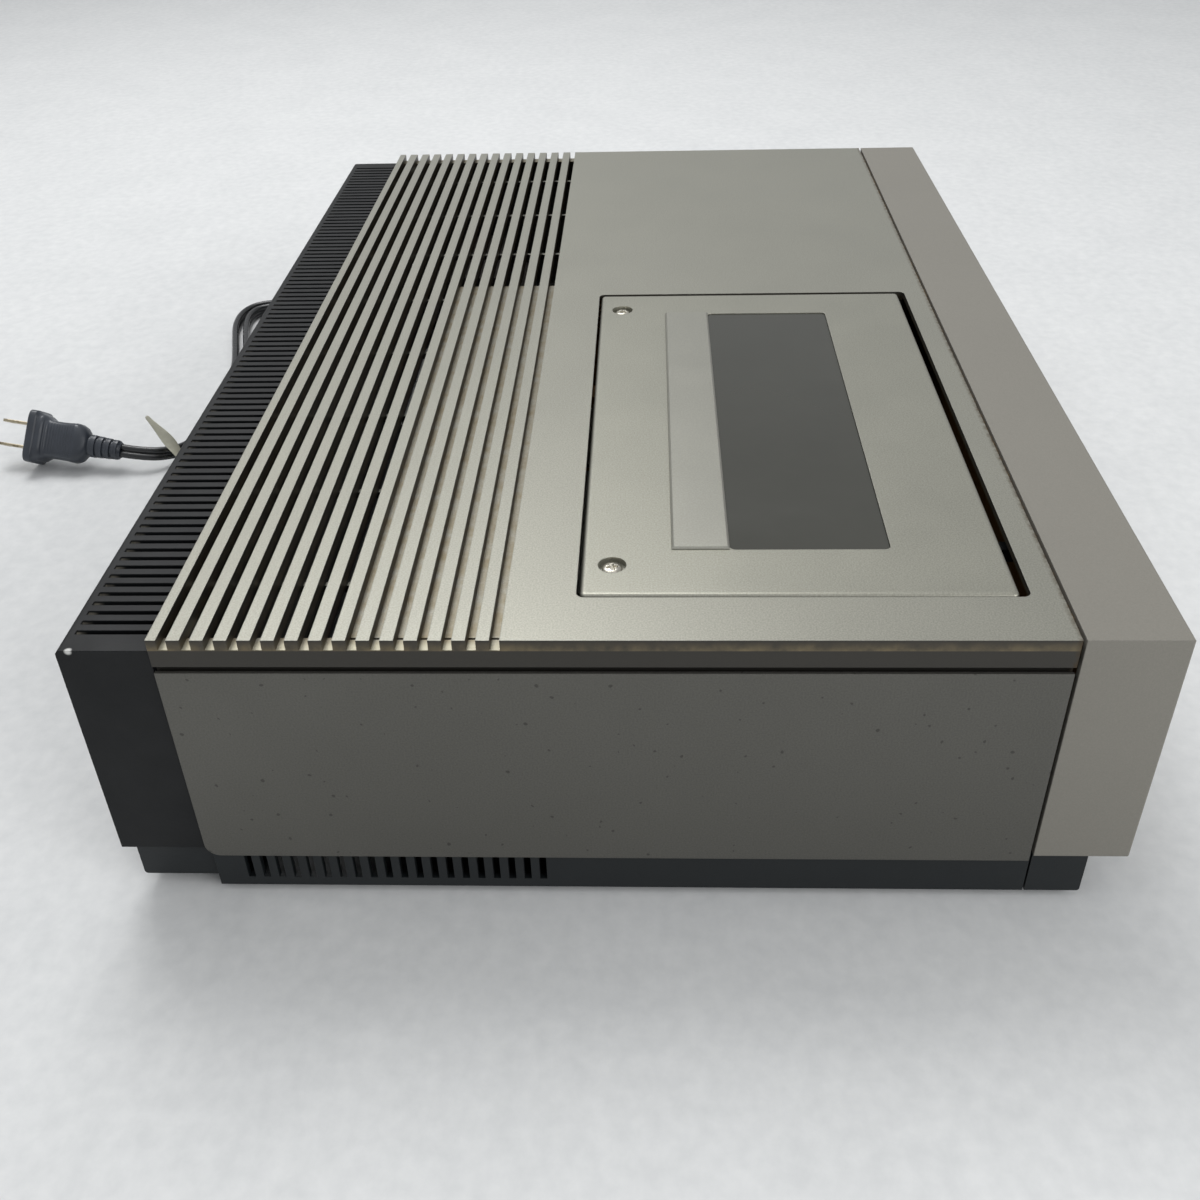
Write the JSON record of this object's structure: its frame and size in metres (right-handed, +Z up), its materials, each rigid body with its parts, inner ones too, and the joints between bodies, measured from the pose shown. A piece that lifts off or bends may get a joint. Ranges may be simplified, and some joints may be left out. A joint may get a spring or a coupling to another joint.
{
  "type": "video cassette recorder",
  "caption": "Top-loading video cassette recorder with a hinged cassette lid, ribbed vented top, tape deck inside, front keys and a tied mains cord.",
  "frame": {"origin": "on the floor under the middle of the casing", "axes": "+Z up, the front faces -Y, +X to the right as seen from the front"},
  "size_m": [0.5119, 0.5061, 0.1115],
  "materials": {
    "metallic_top": "metallic lacquer with fine speckle",
    "strip_plastic": "satin",
    "smoked_window": "smoked, glossy",
    "panel_paint": "satin",
    "silver_front": "satin silver lacquer",
    "black_plastic": "satin moulded",
    "foot_rubber": "matt",
    "zinc_steel": "zinc plated",
    "bright_screws": "nickel plated",
    "ground_steel": "ground",
    "spring_steel": "oiled",
    "pale_nylon": "moulded nylon",
    "drum_aluminium": "turned",
    "flywheel_brass": "turned",
    "motor_can": "drawn can",
    "roller_rubber": "ground",
    "reel_nylon": "moulded",
    "head_metal": "lapped",
    "core_steel": "varnished laminations",
    "board_laminate": "paper laminate",
    "tuner_can": "tinned",
    "jack_plate": "moulded, with plated sockets",
    "key_plastic": "moulded keys",
    "cord_vinyl": "soft vinyl",
    "tie_vinyl": "pale vinyl",
    "plug_brass": "dull plated"
  },
  "bodies": {
    "casing": {"top_cover": "metallic_top", "left_side_panel": "panel_paint", "right_side_panel": "panel_paint", "front_bezel": "silver_front", "front_plinth": "black_plastic", "base_tray": "black_plastic", "rear_cover": "black_plastic", "rear_base": "black_plastic", "rubber_feet": "foot_rubber", "case_screws": "zinc_steel", "hinge_brackets": "zinc_steel", "lid_springs": "spring_steel", "deck_plate": "zinc_steel", "deck_posts": "ground_steel", "lower_drum": "drum_aluminium", "capstan_motor": "motor_can", "tape_heads": "head_metal", "power_transformer": "core_steel", "main_board": "board_laminate", "tuner_box": "tuner_can", "display_board": "board_laminate", "jack_panel": "jack_plate", "display_window": "smoked_window", "control_tray": "black_plastic", "strain_relief": "cord_vinyl", "cord_lead": "cord_vinyl", "cord_hank": "cord_vinyl", "cord_tail": "cord_vinyl", "cord_tie": "tie_vinyl", "plug_body": "cord_vinyl", "plug_blades": "plug_brass"},
    "lid": {"cassette_lid": "metallic_top", "lid_trim_strip": "strip_plastic", "lid_window": "smoked_window", "lid_screws": "bright_screws", "cassette_holder": "zinc_steel"},
    "latch": {"lid_latch": "pale_nylon"},
    "drum": {"upper_drum": "drum_aluminium"},
    "capstan": {"capstan_shaft": "ground_steel", "flywheel": "flywheel_brass"},
    "pinch_lever": {"pinch_arm": "zinc_steel"},
    "pinch_wheel": {"pinch_roller": "roller_rubber"},
    "supply_reel": {"supply_reel_table": "reel_nylon"},
    "take_up_reel": {"take_up_reel_table": "reel_nylon"},
    "supply_loader": {"supply_loading_arm": "ground_steel"},
    "take_up_loader": {"take_up_loading_arm": "ground_steel"},
    "tension_lever": {"tension_arm": "zinc_steel"},
    "door": {"control_door": "silver_front"},
    "knob": {"tracking_knob": "key_plastic"},
    "switch": {"speed_switch": "key_plastic"},
    "power_key": {"power_button": "key_plastic"},
    "eject_key": {"eject_button": "key_plastic"},
    "play_key": {"play_button": "key_plastic"},
    "stop_key": {"stop_button": "key_plastic"},
    "rewind_key": {"rewind_button": "key_plastic"},
    "fast_forward_key": {"fast_forward_button": "key_plastic"},
    "pause_key": {"pause_button": "key_plastic"},
    "record_key": {"record_button": "key_plastic"},
    "channel_up_key": {"channel_up_button": "key_plastic"},
    "channel_down_key": {"channel_down_button": "key_plastic"}
  },
  "joints": [
    {"name": "lid_hinge", "type": "hinge", "parent": "casing", "child": "lid", "pos_m": [-0.0994, 0.0068, 0.1045], "axis": [-1, 0, 0], "range_deg": [0, 24]},
    {"name": "latch_pivot", "type": "hinge", "parent": "casing", "child": "latch", "pos_m": [-0.172, -0.1262, 0.085], "axis": [-1, 0, 0], "range_deg": [0, 14]},
    {"name": "drum_spin", "type": "hinge", "parent": "casing", "child": "drum", "pos_m": [-0.0994, 0.0473, 0.066], "axis": [0, -0.104, 0.9946], "continuous": true},
    {"name": "capstan_spin", "type": "hinge", "parent": "casing", "child": "capstan", "pos_m": [-0.0294, 0.0063, 0.06], "axis": [0, 0, 1], "continuous": true},
    {"name": "pinch_arm_swing", "type": "hinge", "parent": "casing", "child": "pinch_lever", "pos_m": [-0.008, 0.0313, 0.06], "axis": [0, 0, 1], "range_deg": [0, 28], "stiffness_Nm_per_rad": 0.02, "springref_deg": -11.46},
    {"name": "pinch_roller_spin", "type": "hinge", "parent": "pinch_lever", "child": "pinch_wheel", "pos_m": [-0.0329, 0.02628, 0.076], "axis": [0, 0, 1], "continuous": true},
    {"name": "supply_reel_spin", "type": "hinge", "parent": "casing", "child": "supply_reel", "pos_m": [-0.1454, -0.0622, 0.06], "axis": [0, 0, 1], "continuous": true},
    {"name": "take_up_reel_spin", "type": "hinge", "parent": "casing", "child": "take_up_reel", "pos_m": [-0.0534, -0.0622, 0.06], "axis": [0, 0, 1], "continuous": true},
    {"name": "take_up_loading", "type": "hinge", "parent": "casing", "child": "take_up_loader", "pos_m": [-0.0914, 0.0289, 0.055], "axis": [0, 0, 1], "range_deg": [0, 100]},
    {"name": "supply_loading", "type": "hinge", "parent": "casing", "child": "supply_loader", "pos_m": [-0.1074, 0.0289, 0.055], "axis": [0, 0, 1], "range_deg": [-100, 0]},
    {"name": "tension_arm_swing", "type": "hinge", "parent": "casing", "child": "tension_lever", "pos_m": [-0.185, 0.0233, 0.06], "axis": [0, 0, 1], "range_deg": [0, 20], "stiffness_Nm_per_rad": 0.01, "springref_deg": -11.46},
    {"name": "door_hinge", "type": "hinge", "parent": "casing", "child": "door", "pos_m": [0.141, -0.1658, 0.0315], "axis": [1, 0, 0], "range_deg": [0, 90]},
    {"name": "tracking_turn", "type": "hinge", "parent": "casing", "child": "knob", "pos_m": [0.092, -0.1555, 0.0445], "axis": [0, 1, 0], "range_deg": [-150, 150]},
    {"name": "speed_slide", "type": "slide", "parent": "casing", "child": "switch", "axis": [1, 0, 0], "range_m": [-0.005, 0.005]},
    {"name": "power_press", "type": "slide", "parent": "casing", "child": "power_key", "axis": [0, 1, 0], "range_m": [0, 0.002], "stiffness_N_per_m": 200, "springref_m": -0.001},
    {"name": "eject_press", "type": "slide", "parent": "casing", "child": "eject_key", "axis": [0, 1, 0], "range_m": [0, 0.002], "stiffness_N_per_m": 200, "springref_m": -0.001},
    {"name": "play_press", "type": "slide", "parent": "casing", "child": "play_key", "axis": [0, 1, 0], "range_m": [0, 0.002], "stiffness_N_per_m": 200, "springref_m": -0.001},
    {"name": "stop_press", "type": "slide", "parent": "casing", "child": "stop_key", "axis": [0, 1, 0], "range_m": [0, 0.002], "stiffness_N_per_m": 200, "springref_m": -0.001},
    {"name": "rewind_press", "type": "slide", "parent": "casing", "child": "rewind_key", "axis": [0, 1, 0], "range_m": [0, 0.002], "stiffness_N_per_m": 200, "springref_m": -0.001},
    {"name": "fast_forward_press", "type": "slide", "parent": "casing", "child": "fast_forward_key", "axis": [0, 1, 0], "range_m": [0, 0.002], "stiffness_N_per_m": 200, "springref_m": -0.001},
    {"name": "pause_press", "type": "slide", "parent": "casing", "child": "pause_key", "axis": [0, 1, 0], "range_m": [0, 0.002], "stiffness_N_per_m": 200, "springref_m": -0.001},
    {"name": "record_press", "type": "slide", "parent": "casing", "child": "record_key", "axis": [0, 1, 0], "range_m": [0, 0.002], "stiffness_N_per_m": 200, "springref_m": -0.001},
    {"name": "channel_up_press", "type": "slide", "parent": "casing", "child": "channel_up_key", "axis": [0, 1, 0], "range_m": [0, 0.002], "stiffness_N_per_m": 200, "springref_m": -0.001},
    {"name": "channel_down_press", "type": "slide", "parent": "casing", "child": "channel_down_key", "axis": [0, 1, 0], "range_m": [0, 0.002], "stiffness_N_per_m": 200, "springref_m": -0.001}
  ],
  "couplings": [
    {"joint": "supply_loading", "follows": "take_up_loading", "ratio": -1},
    {"joint": "latch_pivot", "follows": "eject_press", "rad_per_m": 117.65}
  ]
}
